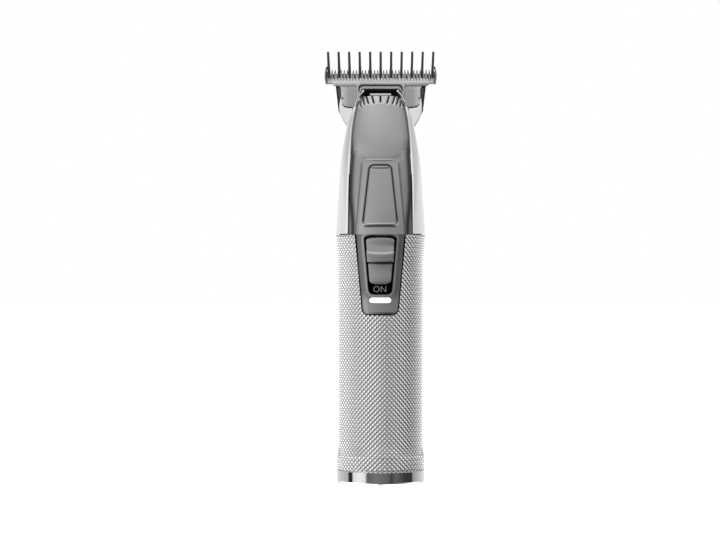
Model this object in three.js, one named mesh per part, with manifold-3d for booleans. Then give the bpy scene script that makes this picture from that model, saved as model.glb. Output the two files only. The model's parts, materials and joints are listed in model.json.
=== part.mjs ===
// A cordless T-blade beard trimmer with its long-tooth guide comb fitted.
// Millimetres. +Z up the handle, -Y the switch side, +X to the right of the switch side.
// The origin is the middle of the flat base that the trimmer stands on.
import * as THREE from 'three';
import { mergeVertices } from 'three/addons/utils/BufferGeometryUtils.js';
import Module from 'manifold-3d';

const wasm = await Module();
wasm.setup();

// ---------------------------------------------------------------- driving dimensions
const GAP = 0.3; // between a piece and the neighbour that is cut to fit it
const FIT = 0.15; // between faces that rest on each other
const FAR = 40; // reach of a cutting tool past the part

const CAP = { top: 4.75, radius: 16.1, edge: 0.9, floor: 2, collarRadius: 14, collarTop: 10 };
const SLEEVE = { bottom: 4.9, top: 91.3, waist: 15.55, bore: 14.35 };
const PORT = { width: 9.4, depth: 3.6 };
const HOUSING = { bottom: 91.45, armTop: 141.6, wall: 1.4, stepZ: 123.7, bladeStepZ: 138.4 };
const COVER = { top: 142.4, wall: 1.2 };
const TONGUE = { bottom: 62, halfLow: 6.5, halfHigh: 9.3, corner: 1.4, bore: 14.75 };
const WINDOW = { bottom: 69.5, top: 91.2, halfLow: 4.2, halfHigh: 6.1, corner: 1.9 };
const KNOB = { bottom: 73.3, top: 90.6, halfLow: 4.0, halfHigh: 5.4, corner: 1.9, stroke: 3.6 };
const LENS = { bottom: 66.25, top: 68.45, half: 4, front: 15.9 };
const PANEL = { bottom: 94.9, top: 117.2, halfLow: 6.7, halfHigh: 4, corner: 1.6, depth: 0.5 };
const CELL = { radius: 7, bottom: 22, top: 72, y: 3 };
const BOARD = { half: 9, front: -9.1, back: -7.9, bottom: 14, top: 83 };
const MOTOR = { y: -2, radius: 10.05, halfFlat: 7.7, bottom: 86, top: 115.5, wall: 0.8 };
const SHAFT = { radius: 1, bore: 1.1, bottom: 86.2, top: 122.8 };
const CAM = { radius: 3.2, bottom: 119, top: 124.2, throw: 1, pinRadius: 0.8, pinTop: 131.2 };
const CARRIER = { front: 4.2, back: 7, bottom: 124, top: 146 };
const FIXED = { front: 2.6, back: 3.9, bottom: 138.7, body: 14.6, bar: 20, barZ: 147.2, tip: 152.4 };
const MOVING = { front: 1.4, back: 2.3, half: 17.9, barZ: 146.4, tip: 150.9 };
const TEETH = { pitch: 1.12, rootZ: 148.3, rootHalf: 0.31, tipHalf: 0.15 };
const COMB = { front: 7.3, back: 8.9, bottom: 127.6, tabBottom: 124.3, tip: 159.2, half: 20.65 };

// ---------------------------------------------------------------- curves of the body
const clamp = (t) => Math.min(Math.max(t, 0), 1);
const smooth = (a, b, z) => clamp((z - a) / (b - a)) ** 2 * (3 - 2 * clamp((z - a) / (b - a)));

// The sleeve is a slim tube that flares a little at both ends.
const sleeveRadius = (z) => SLEEVE.waist + 0.8 * smooth(79, 91, z) + 0.65 * (1 - smooth(9, 14, z));

// The tongue of the cover stands proud of the sleeve and runs flush with it at the joint.
const tongueRadius = (z) => SLEEVE.waist + 0.4 + 0.4 * smooth(80, 91, z);

// A smooth curve through a few [height, reach] stations, flat beyond its ends.
function through(stations) {
  const slope = (i) => {
    const before = stations[Math.max(i - 1, 0)];
    const after = stations[Math.min(i + 1, stations.length - 1)];
    return (after[1] - before[1]) / (after[0] - before[0]);
  };
  return (z) => {
    let i = 0;
    while (i < stations.length - 2 && z > stations[i + 1][0]) i += 1;
    const [z0, r0] = stations[i];
    const [z1, r1] = stations[i + 1];
    const h = z1 - z0;
    const t = clamp((z - z0) / h);
    const ease = t * t * (3 - 2 * t);
    const lift = h * t * (1 - t) * ((1 - t) * slope(i) - t * slope(i + 1));
    return r0 + (r1 - r0) * ease + lift;
  };
}

const headHalf = through([[91, 16.35], [103, 15.65], [118, 14.65], [127, 13.3], [135.7, 11.3], [142.4, 7.9]]);
const headFront = through([[91, 16.35], [100, 15.9], [110, 14.6], [119, 12.6], [128, 9.9], [142.4, 3.6]]);
const headBack = through([[91, 16.35], [100, 15.4], [110, 13.2], [118, 10.6], [124, 8.4]]);
const coverHalf = through([[91, 12], [111, 11.7], [123, 11], [131.3, 10.25], [138, 9.07], [142.4, 7.6]]);

// ---------------------------------------------------------------- making solids
// A closed geometry as a solid for joining and cutting, its faces turned outwards.
function solid(geometry) {
  geometry.deleteAttribute('normal');
  geometry.deleteAttribute('uv');
  const merged = mergeVertices(geometry, 1e-4);
  const position = merged.attributes.position;
  const kept = [];
  let volume = 0;
  const [a, b, c] = [new THREE.Vector3(), new THREE.Vector3(), new THREE.Vector3()];
  for (let i = 0; i < merged.index.count; i += 3) {
    const corner = [0, 1, 2].map((k) => merged.index.getX(i + k));
    if (new Set(corner).size < 3) continue;
    kept.push(...corner);
    [a, b, c].forEach((point, k) => point.fromBufferAttribute(position, corner[k]));
    volume += a.dot(b.cross(c));
  }
  if (volume < 0) kept.reverse();
  const mesh = new wasm.Mesh({
    numProp: 3,
    vertProperties: new Float32Array(position.array),
    triVerts: new Uint32Array(kept),
  });
  return new wasm.Manifold(mesh);
}

function box([x0, x1], [y0, y1], [z0, z1]) {
  const geometry = new THREE.BoxGeometry(x1 - x0, y1 - y0, z1 - z0);
  return solid(geometry.translate((x0 + x1) / 2, (y0 + y1) / 2, (z0 + z1) / 2));
}

// A profile of [radius, height] points turned about a vertical axis at x, y.
function turned(profile, sides, x = 0, y = 0) {
  const points = profile.map(([r, z]) => new THREE.Vector2(r, z));
  return solid(new THREE.LatheGeometry(points, sides).rotateX(Math.PI / 2).translate(x, y, 0));
}

const rod = (radius, z0, z1, x, y, sides = 16) =>
  turned([[0, z0], [radius, z0], [radius, z1], [0, z1]], sides, x, y);

const ring = (inner, outer, z0, z1, sides = 40, x = 0, y = 0) =>
  turned([[inner, z0], [outer, z0], [outer, z1], [inner, z1], [inner, z0]], sides, x, y);

const extruded = (shape, depth, curveSegments = 4) =>
  new THREE.ExtrudeGeometry(shape, { depth, bevelEnabled: false, curveSegments });

// An outline seen from the switch side, in x and z, through y0 to y1.
const frontPrism = (shape, [y0, y1]) =>
  solid(extruded(shape, y1 - y0).rotateX(Math.PI / 2).translate(0, y1, 0));

// An outline seen from above, in x and y, from z0 to z1.
const upPrism = (shape, [z0, z1]) => solid(extruded(shape, z1 - z0).translate(0, 0, z0));

// An outline seen from the side, in y and z, from x0 to x1.
function sidePrism(shape, [x0, x1]) {
  const turn = new THREE.Matrix4().makeBasis(
    new THREE.Vector3(0, 1, 0),
    new THREE.Vector3(0, 0, 1),
    new THREE.Vector3(1, 0, 0),
  );
  return solid(extruded(shape, x1 - x0).applyMatrix4(turn).translate(x0, 0, 0));
}

const polygon = (points) => new THREE.Shape(points.map(([u, v]) => new THREE.Vector2(u, v)));

// A symmetric outline whose half-width follows a curve of height.
function flankOutline(half, z0, z1, steps) {
  const heights = Array.from({ length: steps + 1 }, (_, i) => z0 + ((z1 - z0) * i) / steps);
  const right = heights.map((z) => [half(z), z]);
  const left = [...right].reverse().map(([x, z]) => [-x, z]);
  return polygon([...right, ...left]);
}

// A tapered outline with rounded corners, grown all round by grow.
function taper({ bottom, top, halfLow, halfHigh, corner }, grow = 0) {
  const [z0, z1] = [bottom - grow, top + grow];
  const [low, high] = [halfLow + grow, halfHigh + grow];
  const r = corner + grow;
  const lean = ((high - low) * r) / (z1 - z0);
  const shape = new THREE.Shape();
  shape.moveTo(-low + r, z0);
  shape.lineTo(low - r, z0);
  shape.quadraticCurveTo(low, z0, low + lean, z0 + r);
  shape.lineTo(high - lean, z1 - r);
  shape.quadraticCurveTo(high, z1, high - r, z1);
  shape.lineTo(-high + r, z1);
  shape.quadraticCurveTo(-high, z1, -high + lean, z1 - r);
  shape.lineTo(-low - lean, z0 + r);
  shape.quadraticCurveTo(-low, z0, -low + r, z0);
  return shape;
}

// The solid inside the head's skin, drawn in by inset from the outer face.
function headLoft(inset, z0, z1, steps = 10, sides = 40) {
  const heights = Array.from({ length: steps + 1 }, (_, i) => z0 + ((z1 - z0) * i) / steps);
  const profile = [[0, z0], ...heights.map((z) => [1, z]), [0, z1]];
  const points = profile.map(([r, z]) => new THREE.Vector2(r, z));
  const geometry = new THREE.LatheGeometry(points, sides).rotateX(Math.PI / 2);
  const position = geometry.attributes.position;
  for (let i = 0; i < position.count; i += 1) {
    const [x, y, z] = [position.getX(i), position.getY(i), position.getZ(i)];
    const reach = y < 0 ? headFront(z) : headBack(z);
    position.setXY(i, x * (headHalf(z) - inset), y * (reach - inset));
  }
  return solid(geometry);
}

// A round wire or rod of a given radius along a smooth curve through points.
function wire(points, radius, steps = 6) {
  const path = new THREE.CatmullRomCurve3(points.map((p) => new THREE.Vector3(...p)));
  const section = new THREE.Shape();
  section.absarc(0, 0, radius, 0, Math.PI * 2);
  const options = { steps, extrudePath: path, curveSegments: 4, bevelEnabled: false };
  return solid(new THREE.ExtrudeGeometry(section, options));
}

const joined = (solids) => solids.reduce((whole, next) => whole.add(next));
const cut = (whole, tools) => tools.reduce((left, tool) => left.subtract(tool), whole);

// ---------------------------------------------------------------- materials
const finish = (color, roughness, metalness) =>
  new THREE.MeshStandardMaterial({ color, roughness, metalness });

const satinSilver = finish(0xc9c9cb, 0.35, 1);
const brightChrome = finish(0xe6e6e8, 0.12, 1);
const darkChrome = finish(0x8f8f92, 0.2, 1);
const bladeSteel = finish(0xa9abae, 0.3, 1);
const blackPlastic = finish(0x17181a, 0.45, 0);
const greyPlastic = finish(0x5a5c60, 0.5, 0);
const whiteLens = finish(0xffffff, 0.3, 0);
const greenBoard = finish(0x1f5b37, 0.5, 0);
const cellWrap = finish(0x2d6ea3, 0.4, 0);
const nickel = finish(0xc2bfb5, 0.3, 1);
const brass = finish(0xb8924a, 0.35, 1);
const copper = finish(0xa8623a, 0.4, 1);
const magnetBlack = finish(0x33302e, 0.7, 0);
const redLead = finish(0xb02222, 0.5, 0);
const blackLead = finish(0x1d1d1f, 0.5, 0);

const trimmer = new THREE.Group();

function place(name, piece, material) {
  const { vertProperties, triVerts } = piece.getMesh();
  const geometry = new THREE.BufferGeometry();
  geometry.setAttribute('position', new THREE.BufferAttribute(vertProperties, 3));
  geometry.setIndex(new THREE.BufferAttribute(triVerts, 1));
  geometry.computeVertexNormals();
  const mesh = new THREE.Mesh(geometry, material);
  mesh.name = name;
  trimmer.add(mesh);
}

// ---------------------------------------------------------------- handle
const tonguePrism = (grow) => frontPrism(taper({ ...TONGUE, top: 93 }, grow), [-FAR, 0]);

function makeSleeve() {
  const heights = [SLEEVE.bottom, 9, 10.7, 12.3, 14, 79, 82, 85, 88, SLEEVE.top];
  const outer = heights.map((z) => [sleeveRadius(z), z]);
  const inner = [[SLEEVE.bore, SLEEVE.top], [SLEEVE.bore, SLEEVE.bottom]];
  const tube = turned([...outer, ...inner, outer[0]], 60);
  return tube.subtract(tonguePrism(GAP));
}

function roundedBar(width, depth) {
  const [w, d, r] = [width / 2, depth / 2, depth / 2 - 0.1];
  const shape = new THREE.Shape();
  shape.moveTo(-w + r, -d);
  shape.lineTo(w - r, -d);
  shape.absarc(w - r, -d + r, r, -Math.PI / 2, 0);
  shape.absarc(w - r, d - r, r, 0, Math.PI / 2);
  shape.lineTo(-w + r, d);
  shape.absarc(-w + r, d - r, r, Math.PI / 2, Math.PI);
  shape.absarc(-w + r, -d + r, r, Math.PI, 1.5 * Math.PI);
  return shape;
}

function makeCap() {
  const { top, radius, edge, floor, collarRadius, collarTop } = CAP;
  const [boardSeat, boardBore, bore] = [7.9, 12.6, 11.4];
  const body = turned(
    [
      [0, 0],
      [radius - edge, 0],
      [radius - 0.3 * edge, 0.3 * edge],
      [radius, edge],
      [radius, top],
      [collarRadius, top],
      [collarRadius, collarTop],
      [boardBore, collarTop],
      [boardBore, boardSeat],
      [bore, boardSeat],
      [bore, floor],
      [0, floor],
    ],
    60,
  );
  return body.subtract(upPrism(roundedBar(PORT.width, PORT.depth), [-1, floor + 1]));
}

// Half a tube that holds the cell, with two shelves that the circuit board clips to.
function makeChassis() {
  const [outer, wall, bottom, top] = [13.9, 1.2, 10.3, 85.7];
  const back = box([-FAR, FAR], [0, FAR], [0, FAR * 3]);
  const shelfZone = box([-FAR, FAR], [BOARD.back + GAP, FAR], [0, FAR * 3]);
  const shelf = (z) => rod(outer - wall + 0.05, z, z + 1.4, 0, 0, 40).intersect(shelfZone);
  const trough = ring(outer - wall, outer, bottom, top).intersect(back);
  return joined([trough, shelf(19), shelf(74.5)]);
}

function makeCharging() {
  const shell = upPrism(roundedBar(9, 3.2), [0.5, 7.8]);
  place('charging_socket', shell.subtract(upPrism(roundedBar(8.4, 2.6), [-1, 7])), nickel);
  place('socket_tongue', box([-3.35, 3.35], [-0.35, 0.35], [1.3, 6.85]), blackPlastic);
  place('charge_board', rod(12.3, 8, 9.2, 0, 0, 32), greenBoard);
}

function makePower() {
  const { radius, bottom, top, y } = CELL;
  place('battery_cell', rod(radius, bottom, top, 0, y, 32), cellWrap);
  const tab = (z) => box([-2, 2], [BOARD.back + FIT, 5], [z, z + 0.25]);
  place('battery_tab_positive', tab(top + FIT), nickel);
  place('battery_tab_negative', tab(bottom - FIT - 0.25), nickel);
  const { half, front, back } = BOARD;
  place('circuit_board', box([-half, half], [front, back], [BOARD.bottom, BOARD.top]), greenBoard);
  place('controller_chip', box([-3, 3], [front - 1.2, front - 0.1], [40, 46]), blackPlastic);
  place('indicator_led', box([-1.5, 1.5], [front - 1.2, front - 0.1], [66.6, 68.1]), whiteLens);
}

function makeLeads() {
  const motorRoute = (x) => [[x, -3, 85.5], [x, -4.2, 83.6], [x, -6.5, 82], [x, -7.3, 80]];
  const chargeRoute = (x) => [[x, -5.5, 9.5], [x, -6.6, 11.5], [x, -7.3, 14], [x, -7.3, 17.5]];
  place('motor_lead_red', wire(motorRoute(-5), 0.45), redLead);
  place('motor_lead_black', wire(motorRoute(5), 0.45), blackLead);
  place('charge_lead_red', wire(chargeRoute(-4), 0.45), redLead);
  place('charge_lead_black', wire(chargeRoute(4), 0.45), blackLead);
}

// ---------------------------------------------------------------- head casing
const coverPrism = (grow) =>
  frontPrism(flankOutline((z) => coverHalf(z) + grow, HOUSING.bottom - 1, COVER.top + 3, 10), [-FAR, 0]);

const lensOutline = (grow) => {
  const { bottom, top, half } = LENS;
  const shape = new THREE.Shape();
  shape.moveTo(-half - grow, top + grow);
  shape.quadraticCurveTo(-half - grow, bottom - grow, -half + 1.8, bottom - grow);
  shape.lineTo(half - 1.8, bottom - grow);
  shape.quadraticCurveTo(half + grow, bottom - grow, half + grow, top + grow);
  return shape;
};

function makeCover() {
  const skin = headLoft(0, HOUSING.bottom, COVER.top).subtract(headLoft(COVER.wall, 90, 144));
  const heights = [TONGUE.bottom, 80, 84, 88, HOUSING.bottom + 0.6];
  const outer = heights.map((z) => [tongueRadius(z), z]);
  const [low, high] = [heights[0], heights[heights.length - 1]];
  const sheet = turned([...outer, [TONGUE.bore, high], [TONGUE.bore, low], outer[0]], 60);
  const blank = skin.intersect(coverPrism(0)).add(sheet.intersect(tonguePrism(0)));
  const panel = frontPrism(taper(PANEL), [-FAR, 0]).subtract(headLoft(PANEL.depth, 90, 144));
  const switchHole = frontPrism(taper(WINDOW), [-FAR, -8]);
  const lensHole = frontPrism(lensOutline(FIT), [-FAR, -8]);
  return cut(blank, [panel, switchHole, lensHole]);
}

// The bright casing: a shell with the cover's opening in front, two arms beside the
// cover's top, a collar that plugs into the sleeve and a rib that the carrier screws to.
function makeHousing() {
  const { bottom, armTop, wall, stepZ, bladeStepZ } = HOUSING;
  const outer = headLoft(0, bottom, armTop);
  const skin = outer.subtract(headLoft(wall, 90, 144));
  const collarZone = box([-FAR, FAR], [-4, FAR], [80, bottom + 1.2]);
  const collar = ring(13, 14.2, 86, bottom + 1.2).add(ring(13, 15.4, bottom, bottom + 1.2));
  const rib = box([-FAR, FAR], [1.6, CARRIER.front - GAP], [stepZ + 0.6, stepZ + 3.9]).intersect(outer);
  const holes = [-8, 8].map((x) => drillY(1.1, x, CARRIER_SCREW_Z));
  return cut(joined([skin, collar.intersect(collarZone), rib]), [
    coverPrism(GAP),
    box([-FAR, FAR], [CARRIER.front - GAP, FAR], [stepZ, FAR * 4]),
    box([-FAR, FAR], [MOVING.front - GAP, FAR], [bladeStepZ, FAR * 4]),
    ...holes,
  ]);
}

// ---------------------------------------------------------------- switch
const switchZone = (half, z0, z1) => box([-half, half], [-FAR, 0], [z0, z1]);

function makeSwitch() {
  const { bottom, top } = KNOB;
  const profile = polygon([
    [-13.9, bottom],
    [-15.3, bottom],
    [-15.75, bottom + 0.7],
    [-15.85, 80.5],
    [-16.9, 81.3],
    [-17.05, 82.6],
    [-16.9, 84],
    [-16.1, 86],
    [-16.05, top - 0.5],
    [-15.6, top],
    [-13.9, top],
  ]);
  const cap = sidePrism(profile, [-8, 8]).intersect(frontPrism(taper(KNOB), [-FAR, 0]));
  const crowned = cap.intersect(rod(17, 70, 92, 0, 0, 60));
  const flange = ring(13.7, 14.5, 74.5, 91, 60).intersect(switchZone(6.4, 70, 92));
  const fork = [[77.2, 78.9], [80.9, 82.2]].map((z) => box([-2, 2], [-14, -12.3], z));
  place('switch_knob', joined([crowned, flange, ...fork]), darkChrome);
  place('switch_slider', box([-0.9, 0.9], [-13.6, -11.9], [79.1, 80.7]), blackPlastic);
  place('switch_body', box([-4.3, 4.3], [-11.7, BOARD.front - 0.1], [74.3, 82.6]), greyPlastic);
  const plate = ring(12.8, 13.5, 69, 91, 60).intersect(switchZone(7.6, 68, 92));
  const forkSlot = box([-2.4, 2.4], [-FAR, 0], [77.2 - KNOB.stroke - 0.4, 82.6]);
  place('label_plate', plate.subtract(forkSlot), blackPlastic);
  const lens = frontPrism(lensOutline(0), [-FAR, -12]).intersect(rod(LENS.front, 60, 75, 0, 0, 60));
  place('indicator_lens', lens, whiteLens);
}

// ---------------------------------------------------------------- motor and drive
function motorOutline(inset) {
  const r = MOTOR.radius - inset;
  const flat = MOTOR.halfFlat - inset;
  const angle = Math.asin(flat / r);
  const shape = new THREE.Shape();
  shape.absarc(0, MOTOR.y, r, -angle, angle);
  shape.absarc(0, MOTOR.y, r, Math.PI - angle, Math.PI + angle);
  return shape;
}

const MOTOR_SCREW_X = 6.5;

function makeMotor() {
  const { y, bottom, top, wall } = MOTOR;
  const bellTop = bottom + 3.3;
  const screwHoles = [-MOTOR_SCREW_X, MOTOR_SCREW_X].map((x) => rod(1.15, 110, 120, x, y));
  const bushHole = rod(3.1, 110, 120, 0, y);
  const can = upPrism(motorOutline(0), [bellTop + 0.2, top]);
  const cavity = upPrism(motorOutline(wall), [bottom, top - wall]);
  place('motor_can', cut(can, [cavity, bushHole, ...screwHoles]), nickel);
  const bell = upPrism(motorOutline(0), [bottom, bellTop]);
  place('motor_end_bell', bell.subtract(rod(2.2, 80, 95, 0, y)), blackPlastic);
  place('motor_bush_front', ring(SHAFT.bore, 2.9, 113.9, 117.5, 16, 0, y), brass);
  place('motor_bush_rear', ring(SHAFT.bore, 2, 86.8, 89, 16, 0, y), brass);
  const magnet = ring(6.1, 9.05, 95, 110, 32, 0, y).intersect(box([-FAR, FAR], [y - 6.7, y + 6.7], [90, 112]));
  place('motor_magnet_left', magnet.intersect(box([-FAR, -4], [-FAR, FAR], [90, 112])), magnetBlack);
  place('motor_magnet_right', magnet.intersect(box([4, FAR], [-FAR, FAR], [90, 112])), magnetBlack);
  const plate = headLoft(HOUSING.wall + 0.4, top + GAP, top + 1.5, 2);
  place('motor_plate', cut(plate, [rod(3.3, 110, 120, 0, y), ...screwHoles]), greyPlastic);
  ['left', 'right'].forEach((side, i) => {
    const x = [-MOTOR_SCREW_X, MOTOR_SCREW_X][i];
    const profile = [[0, 113.8], [1, 113.8], [1, 117.1], [1.6, 117.1], [1.6, 118.3], [0, 118.3]];
    place(`motor_screw_${side}`, turned(profile, 16, x, y), nickel);
  });
}

function makeRotor() {
  const { y } = MOTOR;
  const { radius, bore, bottom, top } = SHAFT;
  place('motor_shaft', rod(radius, bottom, top, 0, y), nickel);
  place('motor_armature', ring(bore, 5.6, 93.5, 111, 24, 0, y), copper);
  place('motor_commutator', ring(bore, 2.6, 90, 92.8, 16, 0, y), brass);
  const disc = rod(CAM.radius, CAM.bottom, CAM.top, 0, y, 24);
  const pin = rod(CAM.pinRadius, CAM.top - 0.5, CAM.pinTop, 0, y - CAM.throw, 12);
  const hub = rod(bore, CAM.bottom - 1, top + 0.2, 0, y);
  place('eccentric_cam', disc.subtract(hub).add(pin), greyPlastic);
}

// The fork that turns the pin's circle into a side to side stroke. Its slot is wider than
// the real one, so that the pin clears it at every angle of the motor and place of the blade.
function makeYoke() {
  const { y } = MOTOR;
  const { throw: e, pinRadius } = CAM;
  const [slotHalfX, slotHalfY] = [2 * e + pinRadius + 0.1, e + pinRadius + 0.2];
  const fork = box([-4.6, 4.6], [-5.2, 1.2], [128.3, 131.7]);
  const slot = box([-slotHalfX, slotHalfX], [y - slotHalfY, y + slotHalfY], [120, 140]);
  const neck = box([-3, 3], [-1.2, 1.2], [131.7, 142.8]);
  const block = box([-7.2, 7.2], [-2.4, MOVING.front - 0.1], [142.7, 144.8]);
  return joined([fork.subtract(slot), neck, block]);
}

// ---------------------------------------------------------------- blades
const CARRIER_SCREW_Z = 126;
const BLADE_SCREW_Z = 141.6;

// A round hole through the head from front to back.
function drillY(radius, x, z) {
  const bore = new THREE.CylinderGeometry(radius, radius, FAR, 12);
  return solid(bore.translate(x, 0, z));
}

// A countersunk screw driven in from the back face of the carrier.
function backScrew(x, z, tipY) {
  const back = CARRIER.back - 0.05;
  const profile = [[0, tipY], [0.95, tipY], [0.95, back - 1.1], [1.8, back - 0.3], [1.8, back], [0, back]];
  const points = profile.map(([r, h]) => new THREE.Vector2(r, h));
  return solid(new THREE.LatheGeometry(points, 12).translate(x, 0, z));
}

// The clearance that the same screw needs in the carrier.
function screwSeat(x, z) {
  const back = CARRIER.back;
  const profile = [[0, -2], [1.1, -2], [1.1, back - 1.2], [1.95, back - 0.4], [1.95, back + 1], [0, back + 1]];
  const points = profile.map(([r, h]) => new THREE.Vector2(r, h));
  return solid(new THREE.LatheGeometry(points, 12).translate(x, 0, z));
}

function toothEdge(count, tip, lastX) {
  const points = [[lastX, TEETH.rootZ]];
  for (let i = count; i >= -count; i -= 1) {
    const x = i * TEETH.pitch;
    points.push([x + TEETH.rootHalf, TEETH.rootZ], [x + TEETH.tipHalf, tip]);
    points.push([x - TEETH.tipHalf, tip], [x - TEETH.rootHalf, TEETH.rootZ]);
  }
  points.push([-lastX, TEETH.rootZ]);
  return points;
}

function makeFixedBlade() {
  const { front, back, bottom, body, bar, barZ, tip } = FIXED;
  const right = [
    [body - 2.4, bottom],
    [body - 0.7, bottom + 0.7],
    [body, bottom + 2.4],
    [body, barZ - 1.4],
    [body + 0.5, barZ - 0.4],
    [body + 1.6, barZ],
    [bar - 0.7, barZ],
    [bar, barZ + 0.7],
  ];
  const left = [...right].reverse().map(([x, z]) => [-x, z]);
  const blank = frontPrism(polygon([...right, ...toothEdge(17, tip, bar), ...left]), [front, back]);
  return cut(blank, [-5, 5].map((x) => drillY(1.1, x, BLADE_SCREW_Z)));
}

function makeMovingBlade() {
  const { front, back, half, barZ, tip } = MOVING;
  const [bridge, legInner, tabZ] = [8.7, 7.4, 142];
  const right = [[bridge, tabZ], [bridge, barZ - 0.8], [bridge + 0.8, barZ], [half - 0.5, barZ], [half, barZ + 0.5]];
  const left = [...right].reverse().map(([x, z]) => [-x, z]);
  const plate = frontPrism(polygon([...right, ...toothEdge(15.5, tip, half), ...left]), [front, back]);
  const raised = box([-bridge, bridge], [0.4, front + 0.1], [tabZ, TEETH.rootZ - 0.3]);
  const pocket = box([-legInner, legInner], [-1, front - 0.001], [tabZ - 1, 145]);
  return plate.add(raised.subtract(pocket));
}

function makeCarrier() {
  const half = through([[124, 10.8], [131, 12.4], [134, 14.2], [137, 15.2], [141.6, 15], [142.6, 14.2]]);
  const outline = flankOutline(half, CARRIER.bottom, CARRIER.top, 14);
  const plate = frontPrism(outline, [CARRIER.front, CARRIER.back]);
  const catchNotch = box([-3, 3], [CARRIER.back - 0.4, FAR], [125, 126.3]);
  const seats = [screwSeat(-8, CARRIER_SCREW_Z), screwSeat(8, CARRIER_SCREW_Z)];
  seats.push(screwSeat(-5, BLADE_SCREW_Z), screwSeat(5, BLADE_SCREW_Z));
  return cut(plate, [catchNotch, ...seats]);
}

function makeScrewsAndSprings() {
  ['left', 'right'].forEach((side, i) => {
    const s = [-1, 1][i];
    place(`carrier_screw_${side}`, backScrew(s * 8, CARRIER_SCREW_Z, 2), nickel);
    place(`blade_screw_${side}`, backScrew(s * 5, BLADE_SCREW_Z, FIXED.front + 0.1), nickel);
    const route = [[s * 9.1, -3, 139.2], [s * 8.6, -3.05, 140.9], [s * 7.7, -3, 142.6], [s * 6.4, -2.95, 144.1]];
    place(`spring_wire_${side}`, wire(route, 0.35), nickel);
  });
}

// ---------------------------------------------------------------- guide comb
const RIB = { count: 11, pitch: 3.82, half: 0.45 };

// The shield narrows quickly below its shoulder, so the carrier hides its lower corners.
function shieldOutline() {
  const { bottom, tabBottom } = COMB;
  const [top, slot, slotTop, tab] = [149, 3.9, 130.4, 2.7];
  const right = [
    [tab - 0.6, tabBottom],
    [tab, tabBottom + 0.6],
    [tab, slotTop],
    [slot, slotTop],
    [slot, bottom],
    [9.6, bottom],
    [10.7, bottom + 0.7],
    [11.9, bottom + 3.2],
    [13.7, bottom + 6.2],
    [15.4, bottom + 9.9],
    [16.5, bottom + 19.4],
    [16.5, top],
  ];
  const left = [...right].reverse().map(([x, z]) => [-x, z]);
  return polygon([...right, ...left]);
}

function makeComb() {
  const { front, back, half, tip } = COMB;
  const [barBottom, barTop] = [146.4, 150.8];
  const shield = frontPrism(shieldOutline(), [front, back]);
  const bar = box([-half, half], [4.4, back], [barBottom, barTop]);
  const ribShape = (foot) => polygon([
    [back, foot],
    [back + 0.5, 147],
    [back, 151],
    [6.8, 155.4],
    [3.4, tip - 0.2],
    [2.9, tip],
    [2.3, tip - 0.2],
    [0.6, 154.6],
    [-0.2, 151.4],
    [0, 149.6],
    [0.9, 149.6],
    [0.9, 152.9],
    [4.5, 153.1],
    [4.5, barTop - 1],
    [front + 0.2, barTop - 1],
    [front + 0.2, foot],
  ]);
  const middle = (RIB.count - 1) / 2;
  const ribs = Array.from({ length: RIB.count }, (_, i) => {
    const x = (i - middle) * RIB.pitch;
    const foot = Math.abs(x) > 16 ? barBottom + 0.2 : 144;
    return sidePrism(ribShape(foot), [x - RIB.half, x + RIB.half]);
  });
  const earShape = polygon([
    [back, barBottom],
    [back, 152],
    [5.5, 153.5],
    [1.2, 153.5],
    [-0.2, 151.8],
    [-0.2, 149.4],
    [0.6, 148.2],
    [4.4, barBottom],
  ]);
  const ears = [[-half, 0.5 - half], [half - 0.5, half]].map((x) => sidePrism(earShape, x));
  const hook = box([-2.5, 2.5], [front - 0.25, front + 0.1], [125.3, 126]);
  return joined([shield, bar, ...ribs, ...ears, hook]);
}

// ---------------------------------------------------------------- assembly
place('knurled_sleeve', makeSleeve(), satinSilver);
place('bottom_cap', makeCap(), brightChrome);
place('chassis', makeChassis(), greyPlastic);
makeCharging();
makePower();
makeLeads();
place('front_cover', makeCover(), darkChrome);
place('rear_housing', makeHousing(), brightChrome);
makeSwitch();
makeMotor();
makeRotor();
place('drive_yoke', makeYoke(), blackPlastic);
place('fixed_blade', makeFixedBlade(), bladeSteel);
place('moving_blade', makeMovingBlade(), bladeSteel);
place('blade_carrier', makeCarrier(), brightChrome);
makeScrewsAndSprings();
place('guide_comb', makeComb(), blackPlastic);

export default trimmer;
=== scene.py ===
"""A cordless T-blade beard trimmer, with its guide comb on, standing on a pale floor.

Lengths are in millimetres while a piece is being shaped, and in metres once it is placed.
"""
import json
import math

import bmesh
import bpy
from mathutils import Matrix, Vector


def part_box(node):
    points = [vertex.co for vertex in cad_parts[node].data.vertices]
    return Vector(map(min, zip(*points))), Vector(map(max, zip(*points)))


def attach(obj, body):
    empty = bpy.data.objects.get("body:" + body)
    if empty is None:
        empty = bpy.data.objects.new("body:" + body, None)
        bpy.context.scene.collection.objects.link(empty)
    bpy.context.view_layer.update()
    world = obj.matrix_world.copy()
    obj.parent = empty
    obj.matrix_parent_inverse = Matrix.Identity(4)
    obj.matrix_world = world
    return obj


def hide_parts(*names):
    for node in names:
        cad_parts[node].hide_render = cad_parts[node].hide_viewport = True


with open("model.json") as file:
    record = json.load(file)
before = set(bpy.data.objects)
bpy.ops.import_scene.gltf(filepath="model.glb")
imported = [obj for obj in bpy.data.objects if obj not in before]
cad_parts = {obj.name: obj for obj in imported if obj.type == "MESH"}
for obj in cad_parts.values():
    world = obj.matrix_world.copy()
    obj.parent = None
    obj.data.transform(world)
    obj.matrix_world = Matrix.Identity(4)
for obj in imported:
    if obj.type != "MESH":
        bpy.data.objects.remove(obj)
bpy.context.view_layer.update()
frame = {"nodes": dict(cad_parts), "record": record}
MM = 0.001
X, Z = 0, 2  # axes, as indices


def span(node):
    """The lowest and highest corners of a CAD node, in millimetres."""
    low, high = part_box(node)
    return low / MM, high / MM


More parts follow.
